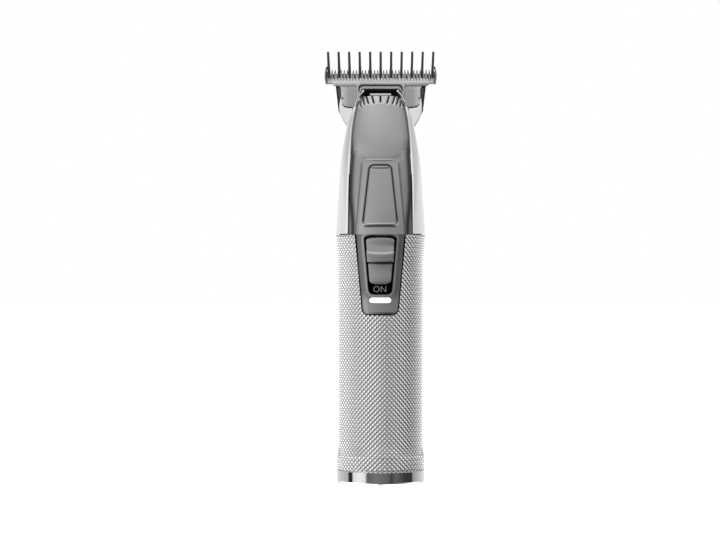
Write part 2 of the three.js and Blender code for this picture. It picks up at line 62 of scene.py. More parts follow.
# ------------------------------------------------------------------ sizes from the frame
cap_high = span("bottom_cap")[1]
sleeve_low, sleeve_high = span("knurled_sleeve")
cover_low, cover_high = span("front_cover")
casing_high = span("rear_housing")[1]
lens_low, lens_high = span("indicator_lens")
label_low, label_high = span("label_plate")
carrier_low, carrier_high = span("blade_carrier")
fixed_low, fixed_high = span("fixed_blade")
moving_low, moving_high = span("moving_blade")
comb_low, comb_high = span("guide_comb")
yoke_low, yoke_high = span("drive_yoke")
socket_low, socket_high = span("charging_socket")

JOINT = sleeve_high.z + 0.15  # where the casing meets the sleeve
WAIST = 15.55  # the sleeve's radius along its straight length
SLEEVE_BORE = 14.35
TONGUE_HALF = (6.5, 9.3)  # half-width at its foot and at the joint
BLADE_STEP = moving_low.y + 0.7  # the casing's arms stop just in front of the moving blade
PITCH = 1.12  # between the blades' teeth
TOOTH_ROOT = 148.3


# ------------------------------------------------------------------ curves of the body
def clamp(t):
    return min(max(t, 0.0), 1.0)


def smooth(a, b, t):
    s = clamp((t - a) / (b - a))
    return s * s * (3 - 2 * s)


def mix(a, b, t):
    return a + (b - a) * t


def bump(d, width):
    """A soft ridge of height 1 at d = 0, fading out over width."""
    return math.exp(-((d / width) ** 2))


def through(stations):
    """A smooth curve through a few (height, reach) stations, flat beyond its ends."""

    def slope(i):
        before, after = stations[max(i - 1, 0)], stations[min(i + 1, len(stations) - 1)]
        return (after[1] - before[1]) / (after[0] - before[0])

    def curve(z):
        i = 0
        while i < len(stations) - 2 and z > stations[i + 1][0]:
            i += 1
        (z0, r0), (z1, r1) = stations[i], stations[i + 1]
        t = clamp((z - z0) / (z1 - z0))
        lift = (z1 - z0) * t * (1 - t) * ((1 - t) * slope(i) - t * slope(i + 1))
        return mix(r0, r1, t * t * (3 - 2 * t)) + lift

    return curve


head_half = through(
    [(91, 16.35), (103, 15.65), (118, 14.65), (127, 13.3), (135.7, 11.3), (142.4, 7.9)]
)
head_front = through([(91, 16.35), (100, 15.9), (110, 14.6), (119, 12.6), (128, 9.9), (142.4, 3.6)])
head_back = through([(91, 16.35), (100, 15.4), (110, 13.2), (118, 10.6), (124, 8.4)])
cover_half = through([(91, 12), (111, 11.7), (123, 11), (131.3, 10.25), (138, 9.07), (142.4, 7.6)])
carrier_half = through(
    [(124, 10.8), (131, 12.4), (134, 14.2), (137, 15.2), (141.6, 15), (142.6, 14.2)]
)


def sleeve_radius(z):
    return WAIST + 0.8 * smooth(79, 91, z) + 0.65 * (1 - smooth(9, 14, z))


def tongue_radius(z):
    return WAIST + 0.4 + 0.4 * smooth(80, 91, z)


def tapered(z, ends, halves):
    """A half-width that runs straight from one end to the other."""
    return mix(halves[0], halves[1], (z - ends[0]) / (ends[1] - ends[0]))


def cornered(half, z, ends, radius):
    """A half-width drawn in by round corners at both ends."""
    reach = min(z - ends[0], ends[1] - z)
    if reach >= radius:
        return half
    return half - radius + math.sqrt(max(radius**2 - (radius - reach) ** 2, 0))


def inside_taper(x, z, ends, halves, radius):
    """How far a point is inside a tapered outline with round corners, negative outside."""
    lean = (halves[1] - halves[0]) / (ends[1] - ends[0])
    across = (abs(x) - tapered(z, ends, halves)) / math.hypot(1, lean) + radius
    along = abs(z - (ends[0] + ends[1]) / 2) - (ends[1] - ends[0]) / 2 + radius
    outside = math.hypot(max(across, 0), max(along, 0))
    return radius - outside - min(max(across, along), 0)


# ------------------------------------------------------------------ shaping with bmesh
def sharp_edges(bm, degrees):
    limit = math.radians(degrees)
    return [e for e in bm.edges if e.is_manifold and e.calc_face_angle() > limit]


def bevelled(bm, offset, segments=2, degrees=30):
    bmesh.ops.bevel(
        bm,
        geom=sharp_edges(bm, degrees),
        offset=offset,
        offset_type="OFFSET",
        segments=segments,
        profile=0.5,
        affect="EDGES",
        clamp_overlap=True,
        material=-1,
    )
    return bm


def closed(bm, tolerance=1e-4):
    bmesh.ops.remove_doubles(bm, verts=bm.verts[:], dist=tolerance)
    bmesh.ops.recalc_face_normals(bm, faces=bm.faces[:])
    return bm


def thickened(bm, shift):
    """Closes an open sheet by drawing a copy of it back to where shift puts each point."""
    drawn = bmesh.ops.extrude_face_region(bm, geom=bm.faces[:])["geom"]
    for v in drawn:
        if isinstance(v, bmesh.types.BMVert):
            v.co = shift(v.co.copy())
    return closed(bm)


def sheet(columns, rows, put):
    """A grid whose points go where put(u, v) says, with u and v from 0 to 1."""
    bm = bmesh.new()
    bmesh.ops.create_grid(bm, x_segments=columns, y_segments=rows, size=0.5)
    for v in bm.verts:
        v.co = put(v.co.x + 0.5, v.co.y + 0.5)
    return bm


def slab(points, direction, corner=0.0, segments=5):
    """A flat outline with its corners rounded, drawn out along a direction."""
    bm = bmesh.new()
    face = bm.faces.new([bm.verts.new(p) for p in points])
    if corner:
        bmesh.ops.bevel(
            bm,
            geom=list(face.verts),
            offset=corner,
            offset_type="OFFSET",
            segments=segments,
            profile=0.5,
            affect="VERTICES",
            clamp_overlap=True,
            material=-1,
        )
    drawn = bmesh.ops.extrude_face_region(bm, geom=bm.faces[:])["geom"]
    moved = [v for v in drawn if isinstance(v, bmesh.types.BMVert)]
    bmesh.ops.translate(bm, verts=moved, vec=direction)
    return closed(bm)


def front_slab(points, y0, y1, corner=0.0, segments=5):
    return slab([(x, y0, z) for x, z in points], (0, y1 - y0, 0), corner, segments)


def side_slab(points, x0, x1):
    return slab([(x0, y, z) for y, z in points], (x1 - x0, 0, 0))


def mirrored_outline(right):
    return right + [(-x, z) for x, z in reversed(right)]


def brick(low, high, edge=0.0, segments=2):
    bm = bmesh.new()
    bmesh.ops.create_cube(bm, size=1)
    low, high = Vector(low), Vector(high)
    for v in bm.verts:
        v.co = Vector(mix(low[i], high[i], v.co[i] + 0.5) for i in range(3))
    return bevelled(bm, edge, segments) if edge else bm


def turned(profile, steps=96):
    """A profile of (radius, height) points spun about the vertical axis."""
    bm = bmesh.new()
    points = [bm.verts.new((r, 0, z)) for r, z in profile]
    edges = [bm.edges.new(pair) for pair in zip(points, points[1:])]
    bmesh.ops.spin(
        bm,
        geom=points + edges,
        axis=(0, 0, 1),
        cent=(0, 0, 0),
        angle=math.tau,
        steps=steps,
        use_merge=True,
    )
    return closed(bm)


def mesh_of(bm, name):
    """A mesh made from a bmesh, which is then freed."""
    mesh = bpy.data.meshes.new(name)
    bm.to_mesh(mesh)
    bm.free()
    return mesh


def linked(name, data):
    """A new object in the scene."""
    made = bpy.data.objects.new(name, data)
    bpy.context.scene.collection.objects.link(made)
    return made


def from_curve(made):
    """The skin of a curve or text object, which is then removed."""
    bm = bmesh.new()
    bm.from_mesh(made.to_mesh())
    made.to_mesh_clear()
    bpy.data.objects.remove(made)
    return bm


def transformed(bm, matrix):
    bmesh.ops.transform(bm, matrix=matrix, verts=bm.verts[:])
    return bm


def tube(route, radius, ball):
    """A round wire along a route of points, with a ball on its last end."""
    curve = bpy.data.curves.new("route", "CURVE")
    curve.dimensions = "3D"
    curve.bevel_depth = radius
    curve.bevel_resolution = 3
    curve.use_fill_caps = True
    spline = curve.splines.new("NURBS")
    spline.points.add(len(route) - 1)
    for point, co in zip(spline.points, route):
        point.co = (*co, 1)
    spline.use_endpoint_u = True
    spline.order_u = 3
    spline.resolution_u = 8
    bm = from_curve(bpy.data.objects.new("route", curve))
    end = Matrix.Translation(route[-1])
    bmesh.ops.create_icosphere(bm, subdivisions=3, radius=ball, matrix=end)
    return closed(bm)


def joined(*parts):
    """Several bmeshes in one."""
    whole = bmesh.new()
    for part in parts:
        mesh = mesh_of(part, "part")
        whole.from_mesh(mesh)
        bpy.data.meshes.remove(mesh)
    return whole


def temporary(bm):
    return linked("shape", mesh_of(bm, "shape"))


def carved(bm, *tools, operation="DIFFERENCE"):
    """The shape with each tool cut from it, or the part of it inside them, as one closed skin."""
    body = temporary(bm)
    cutters = [temporary(tool) for tool in tools]
    for cutter in cutters:
        cut = body.modifiers.new("cut", "BOOLEAN")
        cut.operation = operation
        cut.solver = "EXACT"
        cut.object = cutter
    graph = bpy.context.evaluated_depsgraph_get()
    result = bmesh.new()
    result.from_mesh(body.evaluated_get(graph).to_mesh())
    for made in [body, *cutters]:
        mesh = made.data
        bpy.data.objects.remove(made)
        bpy.data.meshes.remove(mesh)
    bmesh.ops.remove_doubles(result, verts=result.verts[:], dist=1e-5)
    bmesh.ops.dissolve_degenerate(result, edges=result.edges[:], dist=1e-5)
    return result


def split_at(bm, axis, place):
    """Splits the faces that cross a plane square to an axis."""
    co, normal = [0, 0, 0], [0, 0, 0]
    co[axis], normal[axis] = place, 1
    geom = bm.verts[:] + bm.edges[:] + bm.faces[:]
    bmesh.ops.bisect_plane(bm, geom=geom, plane_co=co, plane_no=normal)


def finely_cut(bm, step):
    """Splits a piece's faces on a grid in x and z, so that the painted light and shade stored on
    its points can vary across them.
    """
    for axis in (X, Z):
        places = [v.co[axis] for v in bm.verts]
        place = min(places) + step
        while place < max(places):
            split_at(bm, axis, place)
            place += step
    return bm


def toned(bm, tone):
    """Stores at each point, from 0 to 1, how much painted shade it gets (painted highlight on
    moulded plastic).
    """
    layer = bm.verts.layers.float.new("shade")
    for v in bm.verts:
        v[layer] = clamp(tone(v.co))
    return bm


def piece(name, bm, slot, body, *nodes, crease=20, finish=None):
    """Places a finished shape as a piece that rides on a body and stands for CAD nodes.

    Its look is its slot's, unless another finish is named.
    """
    for face in bm.faces:
        face.smooth = True
    limit = math.radians(crease)
    for edge in bm.edges:
        edge.smooth = not (edge.is_manifold and edge.calc_face_angle() > limit)
    bmesh.ops.scale(bm, vec=(MM, MM, MM), verts=bm.verts[:])
    mesh = mesh_of(bm, name)
    mesh.materials.append(FINISH[finish or slot])
    made = linked(name, mesh)
    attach(made, body)
    if nodes:
        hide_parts(*nodes)


# ------------------------------------------------------------------ materials
class Value:
    """A socket in shader maths: an expression on it adds the Math nodes that it needs."""

    def __init__(self, paint, socket):
        self.paint, self.socket = paint, socket

    def math(self, operation, *others):
        return self.paint.node("ShaderNodeMath", {"operation": operation}, self, *others)

    def __add__(self, other):
        return self.math("ADD", other)

    def __mul__(self, other):
        return self.math("MULTIPLY", other)

    def __rsub__(self, other):
        return self.paint.node("ShaderNodeMath", {"operation": "SUBTRACT"}, other, self)

    def __truediv__(self, other):
        return self.math("DIVIDE", other)

    def __pow__(self, other):
        return self.math("POWER", other)


class Paint:
    """Builds one material, or the world, around its shader."""

    def __init__(self, name, **constants):
        self.material = bpy.data.materials.new(name)
        self.material.use_nodes = True
        self.tree = self.material.node_tree
        self.shader = self.tree.nodes["Principled BSDF"]
        for key, value in constants.items():
            self.shader.inputs[key.replace("_", " ")].default_value = value
        self.object_place = self.node("ShaderNodeTexCoord", {}, output="Object")

    def node(self, kind, settings, *values, output=0, **named):
        made = self.tree.nodes.new(kind)
        for key, value in settings.items():
            if key == "stops":
                self.fill_ramp(made.color_ramp, value)
            else:
                setattr(made, key, value)
        pairs = [*enumerate(values), *((k.replace("_", " "), v) for k, v in named.items())]
        for key, value in pairs:
            self.feed(made.inputs[key], value)
        return Value(self, made.outputs[output])

    def fill_ramp(self, ramp, stops):
        while len(ramp.elements) < len(stops):
            ramp.elements.new(1)
        for element, (place, shade) in zip(ramp.elements, stops):
            element.position = place
            element.color = (*([shade] * 3 if isinstance(shade, (int, float)) else shade), 1)

    def feed(self, socket, value):
        if isinstance(value, Value):
            self.tree.links.new(value.socket, socket)
        else:
            socket.default_value = value

    def set(self, **inputs):
        for key, value in inputs.items():
            self.feed(self.shader.inputs[key.replace("_", " ")], value)

    def painted_light_and_shade(self):
        """The painted shade and painted highlights that a piece stores on its points, or 0 where it
        stores none.
        """
        return self.node("ShaderNodeAttribute", {"attribute_name": "shade"}, output="Fac")

    def stretched(self, scale):
        settings = {"vector_type": "POINT"}
        return self.node("ShaderNodeMapping", settings, Vector=self.object_place, Scale=scale)

    def noise(self, scale, detail, place=None):
        source = place or self.object_place
        return self.node(
            "ShaderNodeTexNoise", {}, Vector=source, Scale=scale, Detail=detail, Roughness=0.5
        )

    def shade(self, amount, dark, light):
        """A colour between two, by an amount from 0 to 1."""
        made = self.tree.nodes.new("ShaderNodeMix")
        made.data_type = "RGBA"
        self.feed(made.inputs["Factor"], amount)
        colours = [s for s in made.inputs if s.type == "RGBA"]
        for socket, colour in zip(colours, (dark, light)):
            self.feed(socket, colour if isinstance(colour, Value) else (*colour, 1))
        return Value(self, next(s for s in made.outputs if s.type == "RGBA"))

    def bump(self, height, strength, distance):
        inputs = {"Height": height, "Strength": strength, "Distance": distance}
        self.set(Normal=self.node("ShaderNodeBump", {}, output="Normal", **inputs))


def grey(value):
    return (value, value, value * 1.008)


def polished(name, tone, roughness, smudge=0.05):
    """Plated metal: a mirror with faint handling marks in its gloss, and painted shade, black, in
    the lines and gaps where a piece stores it.
    """
    paint = Paint(name, Metallic=1.0)
    marks = paint.noise(90, 4)
    clouds = paint.noise(35, 2)
    plate = paint.shade(clouds, grey(tone - 0.03), grey(tone))
    paint.set(
        Base_Color=paint.shade(paint.painted_light_and_shade(), plate, (0.012, 0.012, 0.013)),
        Roughness=marks * smudge + (roughness - smudge / 2),
    )
    return paint.material


def satin(name, tone, roughness):
    """Blasted and plated aluminium with a fine grain, and painted shade in the bottom of its
    grooves.
    """
    paint = Paint(name, Metallic=1.0)
    grain = paint.noise(2600, 2)
    clouds = paint.noise(60, 3)
    plate = paint.shade(clouds, grey(tone - 0.05), grey(tone))
    paint.set(
        Base_Color=paint.shade(paint.painted_light_and_shade() ** 2.2, plate, grey(0.06)),
        Roughness=clouds * 0.1 + grain * 0.08 + (roughness - 0.09),
    )
    paint.bump(grain, 0.2, 0.00002)
    return paint.material


def ground_steel(name, tone, roughness):
    """Steel ground along its length, in fine lines."""
    paint = Paint(name, Metallic=1.0)
    lines = paint.noise(1, 4, paint.stretched((60, 900, 5200)))
    clouds = paint.noise(140, 2)
    plate = paint.shade(clouds, grey(tone - 0.08), grey(tone))
    # Painted shade: the steel darkens where a piece stores a tone.
    paint.set(
        Base_Color=paint.shade(paint.painted_light_and_shade(), plate, grey(0.03)),
        Roughness=lines * 0.16 + (roughness - 0.08),
    )
    paint.bump(lines, 0.3, 0.00002)
    return paint.material


def moulded(name, colour, roughness, coat=0.0, sheen=0.5):
    """Moulded plastic with a spark-eroded grain, with a painted highlight, paler grey, where it
    stores a tone.
    """
    paint = Paint(name, Coat_Roughness=0.15, Specular_IOR_Level=sheen)
    grain = paint.noise(1900, 3)
    clouds = paint.noise(50, 3)
    plain = paint.shade(clouds, tuple(0.72 * c for c in colour), colour)
    paint.set(
        Base_Color=paint.shade(paint.painted_light_and_shade(), plain, grey(0.26)),
        Roughness=clouds * 0.14 + (roughness - 0.07),
        Coat_Weight=coat,
    )
    paint.bump(grain, 0.2, 0.00002)
    return paint.material


def lit_lens(name):
    """A milky diffuser that glows with the light behind it, a little unevenly across its face."""
    paint = Paint(name, Roughness=0.25, Emission_Strength=1.1)
    glow = paint.noise(240, 1)
    paint.set(
        Base_Color=paint.shade(glow, (0.9, 0.9, 0.9), (1, 1, 1)),
        Emission_Color=paint.shade(glow, (0.9, 0.92, 0.95), (1, 1, 1)),
    )
    return paint.material


def solder_mask(name):
    """A green board with copper tracks under its mask."""
    paint = Paint(name)
    tracks = paint.node(
        "ShaderNodeTexBrick", {"offset": 0.5}, Vector=paint.stretched((420, 420, 420)), output="Fac"
    )
    paint.set(
        Base_Color=paint.shade(tracks, (0.03, 0.2, 0.08), (0.06, 0.32, 0.14)),
        Roughness=tracks * 0.15 + 0.3,
    )
    return paint.material


def wound_copper(name):
    """Enamelled copper wire in close turns."""
    paint = Paint(name, Metallic=1.0)
    inputs = {"Vector": paint.object_place, "Scale": 900.0, "Distortion": 0.6}
    turns = paint.node("ShaderNodeTexWave", {"bands_direction": "Z"}, **inputs)
    paint.set(
        Base_Color=paint.shade(turns, (0.3, 0.1, 0.04), (0.72, 0.34, 0.16)),
        Roughness=turns * 0.15 + 0.28,
    )
    paint.bump(turns, 0.6, 0.00005)
    return paint.material


FINISH = {
    "satin_metal": satin("satin_metal", 0.97, 0.18),
    "bright_chrome": polished("bright_chrome", 0.9, 0.05),
    "dark_chrome": polished("dark_chrome", 0.41, 0.42, 0.08),
    "blade_steel": ground_steel("blade_steel", 0.78, 0.3),
    "black_plastic": moulded("black_plastic", (0.002, 0.002, 0.0025), 0.45, 0.0, 0.03),
    # seal_rubber colours the thin dark strip that paints the shadow under the lower blade.
    "seal_rubber": moulded("seal_rubber", (0.07, 0.07, 0.068), 0.5),
    "comb_plastic": moulded("comb_plastic", (0.012, 0.012, 0.014), 0.4),
    "grey_plastic": moulded("grey_plastic", (0.2, 0.2, 0.21), 0.55),
    "white_lens": lit_lens("white_lens"),
    "circuit_board": solder_mask("circuit_board"),
    "cell_wrap": moulded("cell_wrap", (0.08, 0.26, 0.5), 0.35, 0.4),
    "nickel": polished("nickel", 0.72, 0.22),
    "bronze": ground_steel("bronze", 0.5, 0.4),
    "winding": wound_copper("winding"),
    "magnet": moulded("magnet", (0.12, 0.11, 0.1), 0.75),
    "red_lead": moulded("red_lead", (0.5, 0.03, 0.03), 0.45),
    "black_lead": moulded("black_lead", (0.02, 0.02, 0.02), 0.45),
    "letter_grey": moulded("letter_grey", (0.24, 0.24, 0.25), 0.45),
}


# ------------------------------------------------------------------ handle
KNURL = {"around": 58, "rise": 1.73, "groove": 0.1, "slope": 0.46, "height": 0.24}


def tongue_tool(grow):
    """The upright block that cuts the tongue's opening in the sleeve."""
    foot = cover_low.z - grow
    low, high = TONGUE_HALF[0] + grow, TONGUE_HALF[1] + grow + 0.14
    outline = [(-low, foot), (low, foot), (high, JOINT + 1.5), (-high, JOINT + 1.5)]
    return front_slab(outline, -30, 0, 2.3, 8)


def make_sleeve():
    """A tube whose skin is a net of diamonds, each raised into a blunt pyramid."""
    low, high = sleeve_low.z, sleeve_high.z
    rows = round((high - low) / KNURL["rise"])

    def put(u, v):
        z = mix(low, high, v)
        angle = math.tau * u
        radius = sleeve_radius(z) - KNURL["height"]
        return Vector((radius * math.sin(angle), radius * math.cos(angle), z))

    bm = sheet(KNURL["around"], rows, put)
    bmesh.ops.remove_doubles(bm, verts=bm.verts[:], dist=1e-3)
    bmesh.ops.recalc_face_normals(bm, faces=bm.faces[:])
    squares = [e for e in bm.edges if not e.is_boundary]
    bmesh.ops.poke(bm, faces=bm.faces[:])
    bmesh.ops.dissolve_edges(bm, edges=squares, use_verts=False)
    diamonds = bm.faces[:]
    bmesh.ops.inset_individual(
        bm, faces=diamonds, thickness=KNURL["groove"] / 2, depth=0, use_even_offset=True
    )
    bmesh.ops.inset_individual(
        bm, faces=diamonds, thickness=KNURL["slope"], depth=KNURL["height"], use_even_offset=True
    )
    rims = [e for e in bm.edges if e.is_boundary]
    inner = bmesh.ops.extrude_edge_only(bm, edges=rims)["geom"]
    for v in inner:
        if isinstance(v, bmesh.types.BMVert):
            v.co.xy = v.co.xy.normalized() * SLEEVE_BORE
    lips = [e for e in inner if isinstance(e, bmesh.types.BMEdge)]
    bmesh.ops.bridge_loops(bm, edges=lips)
    closed(bm)
    bm = carved(bm, tongue_tool(0.12))

    # Painted shade: the knurl's grooves darken towards their bottoms.
    def groove_shade(co):
        depth = (sleeve_radius(co.z) - math.hypot(co.x, co.y)) / KNURL["height"]
        return 0.86 * smooth(0.7, 1.0, depth)

    toned(bm, groove_shade)
    piece("sleeve", bm, "satin_metal", "housing", "knurled_sleeve", crease=8)


def rounded_bar(width, depth, z0, z1):
    """An upright bar with the round-ended section of a charging port."""
    w, d = width / 2, depth / 2
    outline = [(-w, -d, z0), (w, -d, z0), (w, d, z0), (-w, d, z0)]
    return slab(outline, (0, 0, z1 - z0), d - 0.1, 8)


def make_cap():
    radius, top = cap_high.x, sleeve_low.z - 0.15
    profile = [
        (0, 0),
        (radius - 0.9, 0),
        (radius - 0.5, 0.1),
        (radius - 0.1, 0.5),
        (radius, 0.9),
        (radius, top - 0.15),
        (radius - 0.15, top),
        (14, top),
        (14, cap_high.z),
        (11.4, cap_high.z),
        (11.4, 2),
        (0, 2),
    ]
    bm = carved(turned(profile, 160), rounded_bar(9.4, 3.6, -1, 3))
    piece("base_cap", bm, "bright_chrome", "housing", "bottom_cap", crease=10)
    z0, z1 = socket_low.z, socket_high.z
    shell = carved(rounded_bar(9, 3.2, z0, z1), rounded_bar(8.4, 2.6, z0 - 1, z1 - 0.8))
    piece("charging_port", shell, "nickel", "housing", "charging_socket")


# ------------------------------------------------------------------ front cover
# Tapered outlines with round corners: heights of the ends, half-widths there, corner radius.
PANEL = ((94.6, 116.6), (6.35, 3.95), 1.7)
STEP = ((62, 118.9), (11.2, 6.25), 1.6)
WINDOW_ENDS, WINDOW_HALVES = (69.5, 91.2), (4.2, 6.1)  # round the thumb switch
LAMP_ENDS = (lens_low.z + 0.07, lens_high.z - 0.07)
# Each groove between the fins: its x at the foot, its x at the head, the height of its foot.
FINS = [
    (0.0, 0.0, 139.7),
    (2.3, 3.2, 139.3),
    (4.3, 5.4, 139.2),
    (5.8, 6.9, 138.9),
    (7.1, 7.9, 138.2),
]


def brow(x):
    """The height of the fine line just above the panel's top corners."""
    return 115.4 + 0.012 * x * x


def chin(x):
    """The height where the dome begins to rise."""
    return 119.5 + 0.024 * x * x


def fin_groove(across, z, width):
    """How near a point is to one of the grooves between the cooling fins, from 0 to 1."""
    nearest = 0
    for foot, head, bottom in FINS:
        middle = mix(foot, head, clamp((z - bottom) / (cover_high.z - bottom)))
        here = bump(across - middle, width) * smooth(bottom - 0.3, bottom + 0.7, z)
        nearest = max(nearest, here)
    return nearest


def cover_relief(x, z):
    """How far the cover's detail stands out from its plain curve, in millimetres."""
    across, edge = abs(x), cover_half(z) - abs(x)
    lower = 1 - smooth(120.5, 122.5, z)
    relief = -0.4 * (1 - smooth(0, 0.75, edge)) ** 1.5
    relief -= lower * 0.35 * (1 - smooth(1.0, 2.6, edge))
    step = inside_taper(x, z, *STEP)
    relief += 0.42 * smooth(-0.28, 0.22, step) * lower
    panel = inside_taper(x, z, *PANEL)
    at_foot = 1 - smooth(95.6, 97.4, z)
    relief -= (0.32 + 0.2 * at_foot) * bump(panel, 0.27) + 0.1 * smooth(0.1, 0.5, panel)
    relief += 0.06 * bump(panel - 0.55, 0.2) + 0.18 * bump(step - 0.35, 0.32) * lower
    relief += 0.25 * bump(z - 94.95, 0.35) * smooth(6.3, 5.7, across)
    relief -= 0.15 * bump(z - brow(x), 0.2) * smooth(3.4, 2.9, across)
    relief += 0.6 * smooth(-1.2, 5.5, z - chin(x))
    relief -= 0.14 * bump(z - chin(x) + 1.2, 1.0) * smooth(8.5, 6.5, across)
    relief -= 0.3 * bump(math.hypot(across - 9.2, z - 122.2), 0.45)
    relief -= 0.16 * max(z - 139.5 + 0.02 * x * x, 0)
    return relief - 0.7 * fin_groove(across, z, 0.28)


def cover_shade(co):
    """Painted shade: black where the cover turns down at its sides and in its grooves and lines,
    and darker on its flanks and beside the dome; paler elsewhere.
    """
    x, z = co.x, co.z
    across, edge = abs(x), cover_half(z) - abs(x)
    if z < JOINT:
        return tongue_shade(x, z)
    beside_dome = smooth(119, 128, z)
    middle = mix(2.0, 0.85, smooth(93, 108, z)) * mix(1.0, 0.5, beside_dome)
    side = mix(0.92, 0.7, beside_dome) * bump(edge - middle, mix(1.15, 0.5, beside_dome))
    panel = inside_taper(x, z, *PANEL)
    outline = bump(panel + 0.02, 0.38) * smooth(95.4, 96.6, z)
    underline = 0.95 * bump(z - 94.2, 0.26) * smooth(6.3, 5.5, across)
    brow_line = 0.8 * bump(z - brow(x), 0.2) * smooth(3.3, 2.9, across)
    step = inside_taper(x, z, *STEP)
    step_line = 0.6 * bump(step + 0.45, 0.32) * (1 - smooth(116, 119, z))
    chin_line = 0.22 * bump(z - chin(x) + 0.9, 1.1) * (1 - smooth(6.5, 8.5, across))
    flank = 0.16 * smooth(0.2, -0.8, step) * (1 - smooth(117, 121, z))
    fins = 0.92 * fin_groove(across, z, 0.25)
    shoulder = 0.42 * smooth(3.2, 0.4, edge) * bump(z - 119, 7)
    shoulder += 0.2 * smooth(3.5, 0.3, edge) * smooth(120, 125, z)
    lines = (side, outline, underline, brow_line, step_line, chin_line, flank, fins, shoulder)
    return max(lines)


def tongue_shade(x, z):
    """Painted shade: black lines at the tongue's edges and round the window and the lamp, a darker
    bevelled bezel round the switch, and a little darker all over.
    """
    window = inside_taper(x, z, WINDOW_ENDS, WINDOW_HALVES, 1.8)
    lamp = inside_taper(x, z, LAMP_ENDS, (4.05, 4.05), 1.0)
    bezel = 0.6 * smooth(-0.45, -1.2, window) * smooth(65, 71, z)
    rim = inside_taper(x, z, (cover_low.z, JOINT + 9), (TONGUE_HALF[0], 10.4), 2.2)
    rim = mix(1.0, 0.75, smooth(66, 70, z)) * (1 - smooth(0.25, 0.6, rim))
    return max(0.16, bezel, rim, 0.95 * bump(window, 0.16), 0.8 * bump(lamp, 0.2))


def on_head(x, z, relief):
    """The point of the head's front skin at x and z, moved out by relief."""
    half, reach = head_half(z), head_front(z)
    y = -reach * math.sqrt(max(1 - (x / half) ** 2, 0.0004))
    out = Vector((x / half**2, y / reach**2, 0)).normalized()
    return Vector((x, y, z)) + out * relief


def make_cover():
    low, high = JOINT, cover_high.z

    def put(u, v):
        z = mix(low, high, v)
        x = (2 * u - 1) * cover_half(z)
        return on_head(x, z, cover_relief(x, z))

    def back(co):
        wall = 1.3 * (1 - 0.35 * smooth(120, 142, co.z))
        return Vector((co.x * 0.95, co.y + wall, co.z))

    upper = thickened(sheet(160, 280, put), back)
    foot, top = cover_low.z, JOINT + 0.02

    def put_tongue(u, v):
        z = mix(foot, top, v)
        plain = tapered(z, (foot, JOINT), TONGUE_HALF)
        half = plain if z - foot > 2.2 else cornered(plain, z, (foot, foot + 9), 2.2)
        x = (2 * u - 1) * half
        radius = tongue_radius(z)
        edge = min(plain - abs(x), z - foot + 0.1)
        shelf = 0.2 * smooth(0.5, 1.15, edge)
        flank = max(abs(x) - tapered(z, WINDOW_ENDS, WINDOW_HALVES) - 0.7, 0)
        relief = 0.1 + shelf - 0.14 * flank - 0.3 * (1 - smooth(0, 0.6, edge)) ** 1.5
        flat = math.sqrt(radius**2 - x * x)
        return Vector((x, -flat, z)) + Vector((x, -flat, 0)).normalized() * (relief - 0.05)

    def back_tongue(co):
        return Vector((co.x * 1.035, co.y + 1.3, co.z - 0.3 * (1 - smooth(foot, foot + 2, co.z))))

    tongue = thickened(sheet(100, 170, put_tongue), back_tongue)
    window = [(2.6, 69.5), (3.4, 69.7), (4.0, 70.2), (4.33, 71.0), (6.0, 89.2)]
    window += [(5.9, 89.9), (5.45, 90.5), (4.6, 90.9), (2.5, 91.15)]
    hole = front_slab(mirrored_outline(window), -30, -8)
    (lamp_foot, lamp_top), w = LAMP_ENDS, lens_high.x
    lamp = [(-w, lamp_foot), (w, lamp_foot), (w, lamp_top), (-w, lamp_top)]
    tongue = carved(tongue, hole, front_slab(lamp, -30, -8, 1.08, 10))
    bm = toned(joined(upper, tongue), cover_shade)
    piece("cover", bm, "dark_chrome", "housing", "front_cover", crease=38)


# ------------------------------------------------------------------ bright casing
def make_casing():
    """The shell round the sides and back. Its free edges follow the cover's outline."""
    low, high = JOINT + 0.2, casing_high.z

    def put(u, v):
        z = mix(low, high, v)
        half = head_half(z)
        start = math.asin(clamp((cover_half(z) + 0.22) / half))
        angle = mix(start, math.tau - start, u)
        y = -math.cos(angle)
        reach = head_front(z) if y < 0 else head_back(z)
        side = Vector((math.sin(angle) * half, y * reach, z))
        edge = min(u, 1 - u) * (math.tau - 2 * start) * half
        roll = 0.35 * (1 - smooth(0, 0.5, edge)) ** 2
        out = Vector((side.x / half**2, side.y / reach**2, 0)).normalized()
        return side - out * roll

    def back(co):
        half = head_half(co.z)
        return Vector((co.x * (1 - 1.3 / half), co.y * (1 - 1.3 / half), co.z))

    shell = thickened(sheet(240, 150, put), back)
    step = carrier_low
    plate_step = brick((-30, step.y - 0.3, step.z - 0.3), (30, 30, 160))
    blade_step = brick((-30, BLADE_STEP, 138.4), (30, 30, 160))
    shell = carved(shell, plate_step, blade_step)
    shelf = brick((-11, 1.6, step.z + 0.3), (11, step.y - 0.3, step.z + 3.6), 0.2)
    bm = joined(shell, shelf)
    piece("casing", bm, "bright_chrome", "housing", "rear_housing", crease=38)
    inner, plug, lip, foot = 13, 14.2, 15.2, 86
    ring = [(inner, foot), (plug, foot), (plug, JOINT), (lip, JOINT), (lip, JOINT + 1)]
    ring += [(inner, JOINT + 1), (inner, foot)]
    collar = carved(turned(ring), brick((-20, -4, 80), (20, 20, 95)), operation="INTERSECT")
    piece("joint_collar", collar, "black_plastic", "housing", "rear_housing")
    for side in (-1, 1):
        pin = turned([(0, -1), (0.42, -1), (0.42, 0.1), (0.3, 0.25), (0, 0.3)], 24)
        place = on_head(side * 9.3, 139.0, 0.0)
        lean = Vector((side * 0.5, -1, 0.35)).to_track_quat("Z", "Y").to_matrix().to_4x4()
        transformed(pin, Matrix.Translation(place) @ lean)
        name = "left" if side < 0 else "right"
        piece(f"arm_pin_{name}", pin, "dark_chrome", "housing", "rear_housing")


